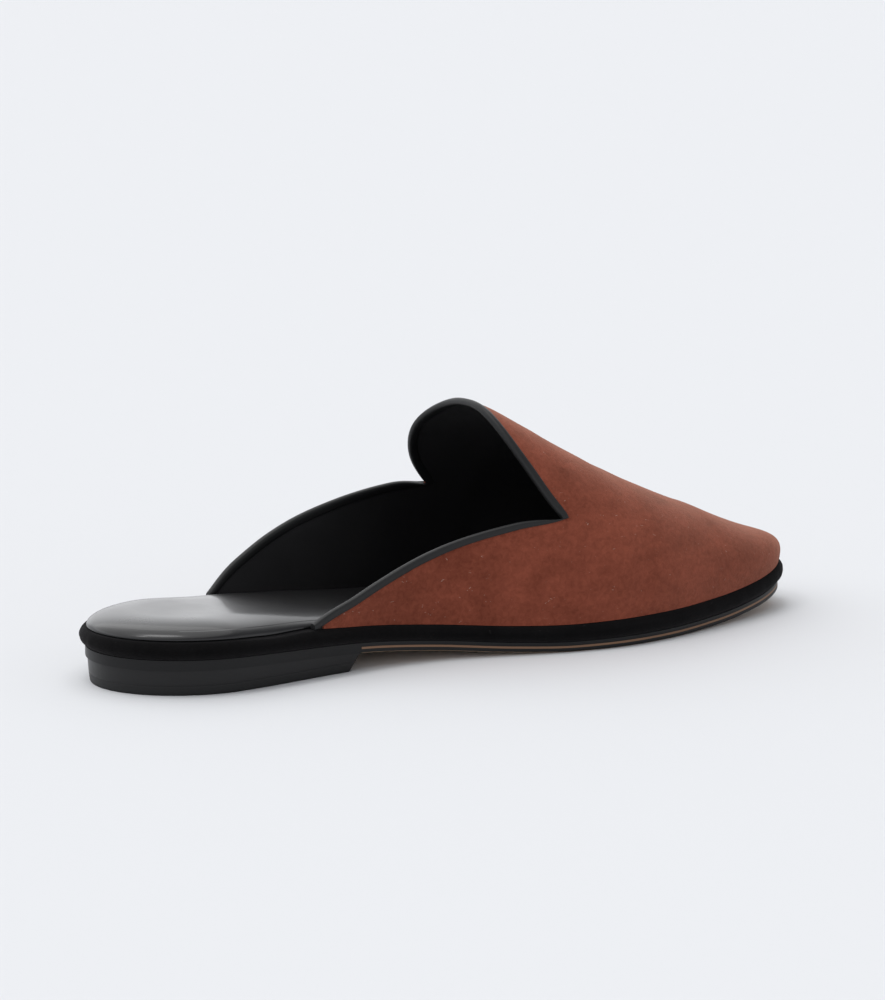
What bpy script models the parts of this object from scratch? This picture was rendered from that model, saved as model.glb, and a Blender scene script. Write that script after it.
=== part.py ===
"""A backless slipper for the left foot, standing empty on its heel and forefoot.

Metres, +Z up. The toe points along +X and the outer side of the foot lies towards +Y.
Each piece is a loft that is worked out from the named sizes below, so they all change together.
"""

import bpy
import numpy as np

# Sole
LENGTH = 0.290
BALL_WIDTH = 0.098
HEEL_WIDTH = 0.068
SOLE_THICKNESS = 0.0035
SOLE_EDGE_ROUND = 0.0007
TOE_SPRING = 0.0075

# Heel, its height measured at the back
HEEL_HEIGHT = 0.0092
TOP_PIECE_HEIGHT = 0.0034
HEEL_INSET = 0.0006
HEEL_TAPER = 0.0008
HEEL_EDGE = 0.0005
BREAST = 0.312
BREAST_SLOPE = 0.0040

# Band between sole and upper
BAND_HEIGHT = 0.0086
BAND_BULGE = 0.0021
BAND_LEAN = 0.0004
BAND_FULLNESS = 0.7

# Insole
INSOLE_THICKNESS = 0.0024
INSOLE_CROWN = 0.0012
INSOLE_HEEL_INSET = 0.0004
INSOLE_SLOPE = 0.018

# Upper
WALL = 0.0018
INSTEP_HEIGHT = 0.079
TOE_BOX_LENGTH = 0.046
RIDGE_RUN = 0.012
BINDING_WIDTH = 0.0024
BINDING_PROUD = 0.0004

CLEARANCE = 0.0003
STATIONS = 40
WING_RIBS = 22
TAB_RIBS = 26
UPPER_ROWS = 17
NOTCH_FOOT = 0.50
NOTCH_SPREAD = 6
RIB_BOW = 0.40

UPPER_OUTLINE = 0.0003
INSOLE_INSET = WALL + BINDING_PROUD + 2 * CLEARANCE - UPPER_OUTLINE

# Plan of the sole. Along is a share of LENGTH, the half width is a share of half
# HEEL_WIDTH plus a share of half BALL_WIDTH, and swing towards the inner side is a
# share of BALL_WIDTH.
PLAN = np.array([
    # along, heel share, ball share, swing
    (0.00, 0.985, 0.000, 0.000),
    (0.15, 1.005, 0.000, 0.000),
    (0.31, 0.970, 0.000, -0.022),
    (0.43, 0.850, 0.125, -0.018),
    (0.55, 0.380, 0.645, 0.010),
    (0.67, 0.000, 1.010, 0.047),
    (0.84, 0.000, 0.885, 0.094),
    (1.00, 0.000, 0.860, 0.127),
])
HEEL_CAP = 0.14
TOE_CAP = 0.45
TOE_ROUNDNESS = 2.4

# Side view of the sole. Seat is the underside over the floor as a share of HEEL_HEIGHT,
# spring a share of TOE_SPRING and band a share of BAND_HEIGHT.
SIDE_VIEW = np.array([
    # along, seat, spring, band
    (0.00, 1.00, 0.00, 1.00),
    (0.10, 0.97, 0.00, 0.97),
    (0.20, 0.87, 0.00, 0.84),
    (0.31, 0.71, 0.00, 0.68),
    (0.42, 0.40, 0.00, 0.66),
    (0.52, 0.11, 0.00, 0.68),
    (0.60, 0.00, 0.00, 0.72),
    (0.74, 0.00, 0.00, 0.76),
    (0.83, 0.00, 0.10, 0.76),
    (0.92, 0.00, 0.45, 0.74),
    (1.00, 0.00, 1.00, 0.72),
])

# Section of the insole at its edge, from its underside to its crown. Inwards is a share of
# INSOLE_SLOPE, thick a share of INSOLE_THICKNESS and crown a share of INSOLE_CROWN.
INSOLE_SECTION = np.array([
    # inwards, thick, crown
    (0.04, 0.00, 0.0),
    (0.00, 0.25, 0.0),
    (0.00, 0.50, 0.0),
    (0.05, 0.85, 0.0),
    (0.17, 1.00, 0.0),
    (0.50, 1.00, 0.6),
    (1.00, 1.00, 1.0),
])
INSOLE_TUCK_START = 0.10
INSOLE_TUCK_END = 0.20

# Ridge of the last, above the line where the upper meets the band. Height is a share of
# INSTEP_HEIGHT and swing towards the inner side a share of BALL_WIDTH.
RIDGE = np.array([
    # along, height, swing
    (0.00, 1.08, 0.00),
    (0.30, 1.08, 0.00),
    (0.42, 1.05, 0.01),
    (0.52, 1.00, 0.03),
    (0.60, 0.86, 0.05),
    (0.65, 0.75, 0.06),
    (0.70, 0.65, 0.07),
    (0.76, 0.54, 0.08),
    (0.80, 0.47, 0.09),
    (0.84, 0.405, 0.09),
])
# Section of the upper: a lower power of the climb's cosine makes it fuller, and belly is
# how far its side swells beyond its foot, as a share of the half width.
SECTION = np.array([
    # along, power, belly
    (0.00, 0.80, 0.040),
    (0.50, 0.80, 0.035),
    (0.62, 0.77, 0.050),
    (0.74, 0.68, 0.095),
    (0.84, 0.64, 0.125),
])
TOE_POWER = 1.00
TOE_BELLY = 0.080
SIDE_RISE = 0.98

# Top line of each wing, from its heel end to the notch at the tab.
# Along is a share of LENGTH. Up is a share of the way from the band to the ridge.
COLLAR = np.array([
    # outer along, outer up, inner along, inner up
    (0.222, 0.025, 0.236, 0.025),
    (0.268, 0.094, 0.282, 0.060),
    (0.320, 0.168, 0.335, 0.116),
    (0.380, 0.238, 0.392, 0.184),
    (0.440, 0.293, 0.452, 0.246),
    (0.500, 0.334, 0.518, 0.304),
    (0.566, 0.372, 0.584, 0.360),
])
# Edge of the raised tab, from the notch to the ridge.
TAB = np.array([
    # outer along, inner along, up
    (0.566, 0.584, 0.372),
    (0.542, 0.572, 0.430),
    (0.526, 0.563, 0.500),
    (0.518, 0.554, 0.600),
    (0.520, 0.546, 0.720),
    (0.527, 0.541, 0.850),
    (0.533, 0.533, 1.000),
])


def smooth(read, at, values):
    """Curve through the points (at, values) that never overshoots them, read where asked."""
    at, values = np.asarray(at, float), np.asarray(values, float)
    span = np.diff(at)
    steep = np.diff(values) / span
    slope = np.zeros(len(at))
    slope[0], slope[-1] = steep[0], steep[-1]
    before, after = steep[:-1], steep[1:]
    same = before * after > 0
    near, far = 2 * span[1:] + span[:-1], span[1:] + 2 * span[:-1]
    slope[1:-1][same] = (near + far)[same] / (near[same] / before[same] + far[same] / after[same])
    k = np.clip(np.searchsorted(at, read, side="right") - 1, 0, len(span) - 1)
    t = np.clip((read - at[k]) / span[k], 0, 1)
    return (
        values[k] * (1 + 2 * t) * (1 - t) ** 2
        + values[k + 1] * (3 - 2 * t) * t ** 2
        + span[k] * t * (1 - t) * (slope[k] * (1 - t) - slope[k + 1] * t)
    )


def spline(read, at, values):
    """Natural cubic spline through the points (at, values), read where asked."""
    span = np.diff(at)
    steep = np.diff(values) / span
    system, pull = np.eye(len(at)), np.zeros(len(at))
    for k in range(1, len(at) - 1):
        system[k, k - 1:k + 2] = span[k - 1], 2 * (span[k - 1] + span[k]), span[k]
        pull[k] = 6 * (steep[k] - steep[k - 1])
    bend = np.linalg.solve(system, pull)
    k = np.clip(np.searchsorted(at, read, side="right") - 1, 0, len(span) - 1)
    ahead, behind, wide = at[k + 1] - read, read - at[k], span[k]
    return (
        (bend[k] * ahead ** 3 + bend[k + 1] * behind ** 3) / (6 * wide)
        + (values[k] / wide - bend[k] * wide / 6) * ahead
        + (values[k + 1] / wide - bend[k + 1] * wide / 6) * behind
    )


def step(read, start, end):
    """0 before start and 1 after end, with a smooth step between."""
    t = np.clip((read - start) / (end - start), 0, 1)
    return t * t * (3 - 2 * t)


def round_end(share, roundness=2.0):
    """Quarter of an oval: 0 at the end of the sole, 1 from the cap's full width on."""
    return (1 - np.clip(1 - share, 0, 1) ** roundness) ** (1 / roundness)


def plan(turn):
    """Edge of the sole. Turn 0 is the back of the heel and pi the toe tip, by the outer side."""
    along = (1 - np.cos(turn)) / 2
    widths = PLAN[:, 1] * HEEL_WIDTH / 2 + PLAN[:, 2] * BALL_WIDTH / 2
    half = spline(along, PLAN[:, 0], widths)
    half = half * round_end(along / HEEL_CAP) * round_end((1 - along) / TOE_CAP, TOE_ROUNDNESS)
    middle = -spline(along, PLAN[:, 0], PLAN[:, 3]) * BALL_WIDTH
    return np.stack([along * LENGTH, middle + np.sign(np.sin(turn)) * half], axis=-1)


def edge(turn, offset):
    """Edge of the sole moved outwards by the offset."""
    nudge = 0.01
    way = plan(turn + nudge) - plan(turn - nudge)
    way = way / np.linalg.norm(way, axis=-1, keepdims=True)
    out = np.stack([-way[..., 1], way[..., 0]], axis=-1)
    return plan(turn) + np.asarray(offset)[..., None] * out


def sole_bottom(along):
    """Height of the sole's underside: seat, arch falling to the ball, then toe spring."""
    arch = smooth(along, SIDE_VIEW[:, 0], SIDE_VIEW[:, 1]) * HEEL_HEIGHT
    return arch + smooth(along, SIDE_VIEW[:, 0], SIDE_VIEW[:, 2]) * TOE_SPRING


def sole_top(along):
    return sole_bottom(along) + SOLE_THICKNESS


def band_height(along):
    return smooth(along, SIDE_VIEW[:, 0], SIDE_VIEW[:, 3]) * BAND_HEIGHT


def band_top(along):
    return sole_top(along) + CLEARANCE + band_height(along)


def level(height):
    """A height, or an offset, that is the same all along the sole."""
    return lambda along: np.full(len(along), height)


def ring(layer, turns):
    """One level of a loft: the edge moved out by the layer's offset, at the layer's height."""
    offset, height = layer
    along = (1 - np.cos(turns)) / 2
    return np.column_stack([edge(turns, offset(along)), height(along)])


def across(pairs, first, upward):
    """Faces that close a ring between the pairs of points that lie across from each other."""
    faces = []
    for (a, d), (b, c) in zip(pairs, pairs[1:]):
        corners = [first + k for k in dict.fromkeys((a, b, c, d))]
        faces.append(corners[::-1] if upward else corners)
    return faces


def loft(levels, pairs):
    """Points and faces of a closed solid through rings of equally many points."""
    count = len(levels[0])
    faces = across(pairs, 0, upward=False)
    for k in range(len(levels) - 1):
        low, high = k * count, (k + 1) * count
        faces += [
            (low + i, high + i, high + (i + 1) % count, low + (i + 1) % count)
            for i in range(count)
        ]
    faces += across(pairs, (len(levels) - 1) * count, upward=True)
    return np.vstack(levels), faces


def add_object(name, points, faces, material):
    mesh = bpy.data.meshes.new(name)
    mesh.from_pydata([tuple(p) for p in points], [], faces)
    mesh.validate()
    mesh.materials.append(material)
    mesh.shade_smooth()
    mesh.set_sharp_from_angle(angle=np.radians(35))
    piece = bpy.data.objects.new(name, mesh)
    collection.objects.link(piece)
    return piece


def add_plate(name, layers, material):
    """A closed plate from the lowest layer to the highest, ruled across at both ends."""
    count = 2 * STATIONS
    turns = np.linspace(0, 2 * np.pi, count, endpoint=False)
    pairs = [(i, -i % count) for i in range(STATIONS + 1)]
    return add_object(name, *loft([ring(layer, turns) for layer in layers], pairs), material)


def add_heel_layer(name, bottom, top, material):
    """A layer of the heel: the sole's edge up to the breast, whose face slopes back to the floor.

    Bottom and top give the layer's faces as heights that may change along the sole.
    """
    levels = []
    for height, eased in (
        (bottom, 1),
        (lambda along: bottom(along) + HEEL_EDGE, 0),
        (lambda along: top(along) - HEEL_EDGE, 0),
        (top, 1),
    ):
        lift = height(np.array([BREAST]))[0] / sole_bottom(np.array([BREAST]))[0]
        most = np.arccos(1 - 2 * (BREAST - BREAST_SLOPE / LENGTH * (1 - lift)))
        inset = HEEL_INSET + HEEL_TAPER * (1 - lift) + HEEL_EDGE * eased
        turns = np.linspace(-most, most, STATIONS + 1)
        levels.append(ring((level(-inset), height), turns))
    pairs = [(i, STATIONS - i) for i in range(STATIONS // 2 + 1)]
    return add_object(name, *loft(levels, pairs), material)


def side_reach(x, side):
    """Y of the upper's foot at x, on the outer (1) or inner (-1) side."""
    turns = np.linspace(0.02, np.pi - 0.02, 400) * side
    foot = edge(turns, np.full(len(turns), UPPER_OUTLINE))
    return np.interp(x, foot[:, 0], foot[:, 1])


def front_reach(angle):
    """Distance from the front end of the ridge to the upper's foot, round the toe."""
    turns = np.linspace(0.5 * np.pi, 1.5 * np.pi, 600)
    foot = edge(turns, np.full(len(turns), UPPER_OUTLINE)) - ridge_front()
    around = np.unwrap(np.arctan2(foot[:, 1], foot[:, 0]))
    return np.interp(angle, around[::-1], np.hypot(foot[:, 0], foot[:, 1])[::-1])


def ridge_y(x):
    return -smooth(x / LENGTH, RIDGE[:, 0], RIDGE[:, 2]) * BALL_WIDTH


def ridge_front():
    x = LENGTH - TOE_BOX_LENGTH
    return np.array([x, ridge_y(np.array([x]))[0]])


def ridge_slope():
    """How the ridge falls at its front end."""
    front = LENGTH - TOE_BOX_LENGTH
    along = np.array([front - RIDGE_RUN, front]) / LENGTH
    height = band_top(along) + smooth(along, RIDGE[:, 0], RIDGE[:, 1]) * INSTEP_HEIGHT
    return (height[1] - height[0]) / RIDGE_RUN


def last_point(x, y):
    """Point of the last over a place in its flattened pattern.

    The distance from the ridge to the foot of the upper, as a share, is the angle still
    to climb. Towards the toe the sections fan out round the front end of the ridge.
    """
    front = ridge_front()
    base_x = np.minimum(x, front[0])
    base_y = ridge_y(base_x)
    away = np.stack([x - base_x, y - base_y], axis=-1)
    distance = np.hypot(away[..., 0], away[..., 1])
    side = np.where(y >= base_y, 1.0, -1.0)
    beside = np.where(side > 0, side_reach(base_x, 1), side_reach(base_x, -1)) - base_y
    around = np.arctan2(away[..., 1], away[..., 0])
    reach = np.where(x > front[0], front_reach(around), np.abs(beside))
    climb = (1 - np.clip(distance / reach, 0, 1)) * np.pi / 2
    unit = away / np.maximum(distance, 1e-9)[..., None]
    ahead = np.where(x > front[0], np.cos(around), 0.0) ** 2
    power = smooth(base_x / LENGTH, SECTION[:, 0], SECTION[:, 1])
    power = power + (TOE_POWER - power) * ahead
    belly = smooth(base_x / LENGTH, SECTION[:, 0], SECTION[:, 2])
    belly = belly + (TOE_BELLY - belly) * ahead
    flat = np.cos(climb).clip(0, 1) ** power * (1 + belly * np.sin(2 * climb))
    rise = np.sin(climb) ** SIDE_RISE
    foot_x = base_x + unit[..., 0] * reach
    foot_z = band_top(foot_x / LENGTH) + CLEARANCE
    ridge_z = band_top(base_x / LENGTH) + CLEARANCE
    ridge_z = ridge_z + smooth(base_x / LENGTH, RIDGE[:, 0], RIDGE[:, 1]) * INSTEP_HEIGHT
    out_x = base_x + unit[..., 0] * reach * flat
    out_y = base_y + unit[..., 1] * reach * flat
    out_z = foot_z + (ridge_z - foot_z) * rise + ridge_slope() * (out_x - base_x) * rise ** 2
    return np.stack([out_x, out_y, out_z], axis=-1)


def pattern_place(along, up, side):
    """Place in the flattened pattern at a share of the length and of the climb."""
    x = along * LENGTH
    middle = ridge_y(x)
    return np.column_stack([x, middle + (side_reach(x, side) - middle) * (1 - up)])


def spaced(points, count):
    """The same curve with its points at even steps."""
    steps = np.r_[0, np.cumsum(np.linalg.norm(np.diff(points, axis=0), axis=1))]
    even = np.linspace(0, steps[-1], count)
    return np.column_stack([np.interp(even, steps, points[:, k]) for k in range(points.shape[1])])


def top_edge_half(side):
    """Top line and tab edge on one side, from the heel end of the wing to the ridge."""
    read = np.linspace(0, 1, 300)
    along, up = COLLAR[:, :2].T if side > 0 else COLLAR[:, 2:].T
    at = (along - along[0]) / (along[-1] - along[0])
    wing = pattern_place(smooth(read, at, along), smooth(read, at, up), side)
    along, up = TAB[:, 0 if side > 0 else 1], TAB[:, 2]
    at = (up - up[0]) / (1 - up[0])
    tab = pattern_place(smooth(read, at, along), smooth(read, at, up), side)
    return spaced(wing, WING_RIBS), spaced(tab, TAB_RIBS)


def upper_ribs():
    """Ribs from the foot of the upper to its top edge, as places in the pattern.

    Those that end on the tab bow towards the ridge, so that they meet its edge squarely.
    """
    sides = {}
    for side in (-1, 1):
        wing, tab = top_edge_half(side)
        start = np.arccos(1 - 2 * COLLAR[0, 0 if side > 0 else 2])
        turns = np.linspace(start, np.pi, 500) * side
        foot = spaced(edge(turns, np.full(len(turns), UPPER_OUTLINE)), 500)
        wanted = np.r_[
            np.linspace(0, NOTCH_FOOT, WING_RIBS),
            np.linspace(NOTCH_FOOT, 1, TAB_RIBS)[1:],
        ]
        share = np.linspace(0, 1, len(foot))
        foot = np.column_stack([np.interp(wanted, share, foot[:, k]) for k in (0, 1)])
        sides[side] = foot, np.vstack([wing, tab[1:]])
    foot = np.vstack([sides[-1][0], sides[1][0][-2::-1]])
    top = np.vstack([sides[-1][1], sides[1][1][-2::-1]])
    share = np.linspace(0, 1, 121)[None, :]
    x, y = (foot[:, k, None] * (1 - share) + top[:, k, None] * share for k in (0, 1))
    count = np.arange(len(foot))
    from_end = np.minimum(count, count[::-1])
    bow = RIB_BOW * step(from_end, WING_RIBS - NOTCH_SPREAD, WING_RIBS + NOTCH_SPREAD)
    middle = ridge_y(np.minimum(x, ridge_front()[0]))
    y = middle + (y - middle) * (1 - 4 * bow[:, None] * share * (1 - share))
    return np.stack([x, y], axis=-1)


def stretch(ribs, rows, low, high):
    """Part of the upper as a grid: low above the foot to high below the top edge, in metres."""
    fine = last_point(ribs[..., 0], ribs[..., 1])
    grid = []
    for rib, place in zip(fine, ribs):
        climbed = np.r_[0, np.cumsum(np.linalg.norm(np.diff(rib, axis=0), axis=1))]
        start = low if low is not None else climbed[-1] - BINDING_WIDTH
        at = np.linspace(start, climbed[-1] - high, rows)
        grid.append([np.interp(at, climbed, place[:, k]) for k in (0, 1)])
    grid = np.array(grid)
    return last_point(grid[:, 0], grid[:, 1])


def add_shell(name, grid, wall, proud, material):
    """A sheet of quads given its wall towards the foot, and standing proud by a part of it."""
    ribs, rows = grid.shape[:2]
    faces = [
        (i * rows + j, (i + 1) * rows + j, (i + 1) * rows + j + 1, i * rows + j + 1)
        for i in range(ribs - 1)
        for j in range(rows - 1)
    ]
    piece = add_object(name, grid.reshape(-1, 3), faces, material)
    shell = piece.modifiers.new("wall", "SOLIDIFY")
    shell.thickness = wall + proud
    shell.offset = -1 + 2 * proud / (wall + proud)
    return piece


def outsole_layers():
    """Level underside, eased edges and straight side of the outsole."""
    return [
        (level(-SOLE_EDGE_ROUND), sole_bottom),
        (level(0.0), lambda along: sole_bottom(along) + SOLE_EDGE_ROUND),
        (level(0.0), lambda along: sole_top(along) - SOLE_EDGE_ROUND),
        (level(-SOLE_EDGE_ROUND), sole_top),
    ]


def band_layers():
    """A soft roll that bulges out halfway up its side."""
    def rise(share):
        return lambda along: band_top(along) - band_height(along) * (1 - share)

    def reach(share):
        return BAND_LEAN * (2 * share - 1) + BAND_BULGE * np.sin(np.pi * share) ** BAND_FULLNESS

    return [(level(reach(share)), rise(share)) for share in np.linspace(0, 1, 7)]


def insole_layers():
    """A padded plate whose edge rolls over at the heel and tucks inside the upper in front."""
    def spread(inwards):
        inset = INSOLE_HEEL_INSET + INSOLE_SLOPE * inwards
        tuck = INSOLE_INSET - INSOLE_HEEL_INSET
        return lambda along: -inset - tuck * step(along, INSOLE_TUCK_START, INSOLE_TUCK_END)

    def rise(thick, crown):
        lift = CLEARANCE + INSOLE_THICKNESS * thick + INSOLE_CROWN * crown
        return lambda along: band_top(along) + lift

    return [(spread(inwards), rise(thick, crown)) for inwards, thick, crown in INSOLE_SECTION]


def stand_over_origin(pieces):
    """Hang the pieces on an empty that puts the middle of their plan over the origin."""
    corners = np.vstack([[v.co for v in piece.data.vertices] for piece in pieces])
    middle = (corners.min(axis=0) + corners.max(axis=0)) / 2
    root = bpy.data.objects.new("slipper_root", None)
    root.location = (-middle[0], -middle[1], 0)
    collection.objects.link(root)
    for piece in pieces:
        piece.parent = root


def add_material(name, colour, roughness, metallic=0.0):
    material = bpy.data.materials.new(name)
    material.use_nodes = True
    surface = material.node_tree.nodes["Principled BSDF"]
    surface.inputs["Base Color"].default_value = (*colour, 1.0)
    surface.inputs["Roughness"].default_value = roughness
    surface.inputs["Metallic"].default_value = metallic
    return material


for old in list(bpy.data.objects):
    bpy.data.objects.remove(old)
collection = bpy.data.collections.new("slipper")
bpy.context.scene.collection.children.link(collection)

suede_black = add_material("black suede", (0.012, 0.012, 0.013), 0.9)
leather_black = add_material("black polished leather", (0.014, 0.014, 0.015), 0.35)
leather_tan = add_material("natural leather", (0.53, 0.38, 0.26), 0.6)
rubber_black = add_material("black rubber", (0.012, 0.012, 0.013), 0.7)
stack_black = add_material("black heel finish", (0.02, 0.02, 0.021), 0.4)
suede_rust = add_material("rust suede", (0.17, 0.045, 0.03), 0.95)

pieces = [
    add_heel_layer("top_piece", level(0.0), level(TOP_PIECE_HEIGHT), rubber_black),
    add_heel_layer(
        "heel_lift",
        level(TOP_PIECE_HEIGHT + CLEARANCE),
        lambda along: sole_bottom(along) - CLEARANCE,
        stack_black,
    ),
    add_plate("outsole", outsole_layers(), leather_tan),
    add_plate("band", band_layers(), suede_black),
    add_plate("insole", insole_layers(), leather_black),
]
ribs = upper_ribs()
vamp = stretch(ribs, UPPER_ROWS, 0.0, BINDING_WIDTH + CLEARANCE)
pieces.append(add_shell("upper", vamp, WALL, 0.0, suede_rust))
rim = stretch(ribs, 3, None, 0.0)
pieces.append(add_shell("binding", rim, WALL + BINDING_PROUD, BINDING_PROUD, leather_black))
stand_over_origin(pieces)
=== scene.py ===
"""A backless slipper for the left foot: rust suede upper, black suede band, tan leather sole.

Metres, +Z up, toe along +X, outer side of the foot towards +Y. It stands on its heel and forefoot.
"""

import bmesh
import bpy
import numpy as np
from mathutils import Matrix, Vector


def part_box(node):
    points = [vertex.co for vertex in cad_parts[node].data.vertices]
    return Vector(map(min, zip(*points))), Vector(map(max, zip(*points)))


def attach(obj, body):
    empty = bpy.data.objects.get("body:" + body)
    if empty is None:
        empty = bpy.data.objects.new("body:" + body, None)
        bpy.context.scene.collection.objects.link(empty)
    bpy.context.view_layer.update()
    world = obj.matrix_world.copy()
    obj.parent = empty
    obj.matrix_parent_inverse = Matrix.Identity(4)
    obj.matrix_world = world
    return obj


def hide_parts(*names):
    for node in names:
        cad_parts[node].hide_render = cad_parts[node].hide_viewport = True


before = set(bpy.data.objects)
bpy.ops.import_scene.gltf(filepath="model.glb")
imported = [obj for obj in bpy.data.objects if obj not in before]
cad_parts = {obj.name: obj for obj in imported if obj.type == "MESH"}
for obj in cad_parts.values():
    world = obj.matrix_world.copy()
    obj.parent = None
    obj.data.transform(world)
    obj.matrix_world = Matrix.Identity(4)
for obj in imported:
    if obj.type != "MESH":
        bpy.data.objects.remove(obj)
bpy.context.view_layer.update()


# Studio: a pale seamless floor inside white walls that the polished insole mirrors, a greyer room
# above them, broad lamps overhead, one small lamp that draws a thin highlight along the insole's
# rolled edge, and a camera low behind the inner side.
FLOOR_COLOUR = (0.685, 0.694, 0.712)
SKY_COLOUR = (0.855, 0.871, 0.905)
SKY_STRENGTH = 1.0
ROOM_SHARE = 0.30
WALL_TOP = 0.28
ROOM_START = 0.66
CAMERA_PLACE = (-0.875, -1.242, 0.337)
CAMERA_AIM = (0.000, 0.000, 0.052)
CAMERA_LENS = 152.0
CAMERA_RANGE = (0.05, 40.0)
FLOOR_HALF = 9.0


def new_material(name, colour, roughness, **sockets):
    """A Principled material with constant values set on the shader's own sockets."""
    material = bpy.data.materials.new(name)
    material.use_nodes = True
    shader = material.node_tree.nodes["Principled BSDF"]
    shader.inputs["Base Color"].default_value = (*colour, 1.0)
    shader.inputs["Roughness"].default_value = roughness
    for socket, value in sockets.items():
        shader.inputs[socket.replace("_", " ")].default_value = value
    return material


scene = bpy.context.scene
scene.view_settings.view_transform = "Standard"

camera_data = bpy.data.cameras.new("camera")
camera_data.lens = CAMERA_LENS
camera_data.clip_start, camera_data.clip_end = CAMERA_RANGE
camera = bpy.data.objects.new("camera", camera_data)
camera.location = CAMERA_PLACE
camera.rotation_euler = (Vector(CAMERA_AIM) - camera.location).to_track_quat("-Z", "Y").to_euler()
scene.collection.objects.link(camera)
scene.camera = camera

world = bpy.data.worlds.new("sky")
world.use_nodes = True
sky = world.node_tree.nodes["Background"]
sky.inputs["Color"].default_value = (*SKY_COLOUR, 1.0)
scene.world = world

# The sine of the height above the horizon sets the strength: white walls up to WALL_TOP, and the
# room's share from ROOM_START upwards.
world_nodes, world_link = world.node_tree.nodes, world.node_tree.links.new
sky_way = world_nodes.new("ShaderNodeTexCoord")
sky_parts = world_nodes.new("ShaderNodeSeparateXYZ")
wall_glow = world_nodes.new("ShaderNodeMapRange")
wall_glow.interpolation_type = "SMOOTHSTEP"
for socket, value in (
    ("From Min", WALL_TOP),
    ("From Max", ROOM_START),
    ("To Min", SKY_STRENGTH),
    ("To Max", ROOM_SHARE * SKY_STRENGTH),
):
    wall_glow.inputs[socket].default_value = value
world_link(sky_way.outputs["Generated"], sky_parts.inputs["Vector"])
world_link(sky_parts.outputs["Z"], wall_glow.inputs["Value"])
world_link(wall_glow.outputs["Result"], sky.inputs["Strength"])

# name, compass direction the light comes from, height in degrees, spread in degrees, strength
LAMPS = [
    ("key", 135.0, 66.0, 104.0, 1.9),
    ("overhead", 160.0, 80.0, 22.0, 0.6),
    ("back_glow", 58.5, 22.0, 60.0, 0.5),
    ("glint", 174.0, 60.0, 9.0, 0.20),
]
for light_name, compass, climb, spread, strength in LAMPS:
    light_data = bpy.data.lights.new(light_name, "SUN")
    light_data.angle, light_data.energy = np.radians(spread), strength
    light = bpy.data.objects.new(light_name, light_data)
    light.rotation_euler = (0.0, np.radians(90.0 - climb), np.radians(compass))
    scene.collection.objects.link(light)

floor_mesh = bpy.data.meshes.new("floor")
floor_mesh.from_pydata(
    [(x * FLOOR_HALF, y * FLOOR_HALF, 0.0) for x, y in ((-1, -1), (1, -1), (1, 1), (-1, 1))],
    [],
    [(0, 1, 2, 3)],
)
floor_paper = new_material("floor paper", FLOOR_COLOUR, roughness=1.0, Specular_IOR_Level=0.0)
floor_mesh.materials.append(floor_paper)
floor = bpy.data.objects.new("floor", floor_mesh)
scene.collection.objects.link(floor)


# Outsole: one cut of natural vegetable-tanned leather, its edge rounded and inked black but for a
# thin line of bare leather round the middle of the edge, from the heel breast forward.
LENGTH = 0.290
BALL_WIDTH = 0.098
HEEL_WIDTH = 0.068
SOLE_THICKNESS = 0.0035
SOLE_EDGE_ROUND = 0.0007
TOE_SPRING = 0.0075
HEEL_HEIGHT = 0.0092
BREAST = 0.312
BAND_HEIGHT = 0.0086
CLEARANCE = 0.0003
HEEL_CAP = 0.14
TOE_CAP = 0.45
TOE_ROUNDNESS = 2.4
CAD_TURNS = 80
TURNS = 420
MERGE_DISTANCE = 0.000002
SHARP_ANGLE = 48
BUMP_DEPTH = 0.0002
INK = 0.00012
INK_OVER_TOP = 0.0002
INK_LAP = 0.0030
INK_TUCK = 0.0002
INK_LOW = 0.00025
SEAT_INK_LOW = -0.00003
SEAT_INK_UNDER = 0.0012
SEAT_INK_PAST_BREAST = 0.003
BARE_COAT = 0.00003
BARE_LINE_LOW = 0.0015
BARE_LINE_HIGH = 0.0023
TAN = (0.535, 0.375, 0.245)
TAN_EDGE = (0.20, 0.105, 0.055)
EDGE_INK = (0.0060, 0.0060, 0.0065)

PLAN = np.array([
    # along, heel share, ball share, swing to the inner side
    (0.00, 0.985, 0.000, 0.000),
    (0.15, 1.005, 0.000, 0.000),
    (0.31, 0.970, 0.000, -0.022),
    (0.43, 0.850, 0.125, -0.018),
    (0.55, 0.380, 0.645, 0.010),
    (0.67, 0.000, 1.010, 0.047),
    (0.84, 0.000, 0.885, 0.094),
    (1.00, 0.000, 0.860, 0.127),
])
SIDE_VIEW = np.array([
    # along, seat, spring, band
    (0.00, 1.00, 0.00, 0.92),
    (0.10, 0.97, 0.00, 0.91),
    (0.20, 0.87, 0.00, 0.81),
    (0.31, 0.71, 0.00, 0.68),
    (0.42, 0.40, 0.00, 0.66),
    (0.52, 0.11, 0.00, 0.68),
    (0.60, 0.00, 0.00, 0.72),
    (0.74, 0.00, 0.00, 0.76),
    (0.83, 0.00, 0.10, 0.76),
    (0.92, 0.00, 0.45, 0.74),
    (1.00, 0.00, 1.00, 0.72),
])


def smooth(read, at, values):
    """Cubic through the points with slopes held back so that it never overshoots them."""
    at, values = np.asarray(at, float), np.asarray(values, float)
    span = np.diff(at)
    steep = np.diff(values) / span
    slope = np.zeros(len(at))
    slope[0], slope[-1] = steep[0], steep[-1]
    before, after = steep[:-1], steep[1:]
    same = before * after > 0
    near, far = 2 * span[1:] + span[:-1], span[1:] + 2 * span[:-1]
    slope[1:-1][same] = (near + far)[same] / (near[same] / before[same] + far[same] / after[same])
    k = np.clip(np.searchsorted(at, read, side="right") - 1, 0, len(span) - 1)
    t = np.clip((read - at[k]) / span[k], 0, 1)
    return (
        values[k] * (1 + 2 * t) * (1 - t) ** 2
        + values[k + 1] * (3 - 2 * t) * t ** 2
        + span[k] * t * (1 - t) * (slope[k] * (1 - t) - slope[k + 1] * t)
    )


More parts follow.
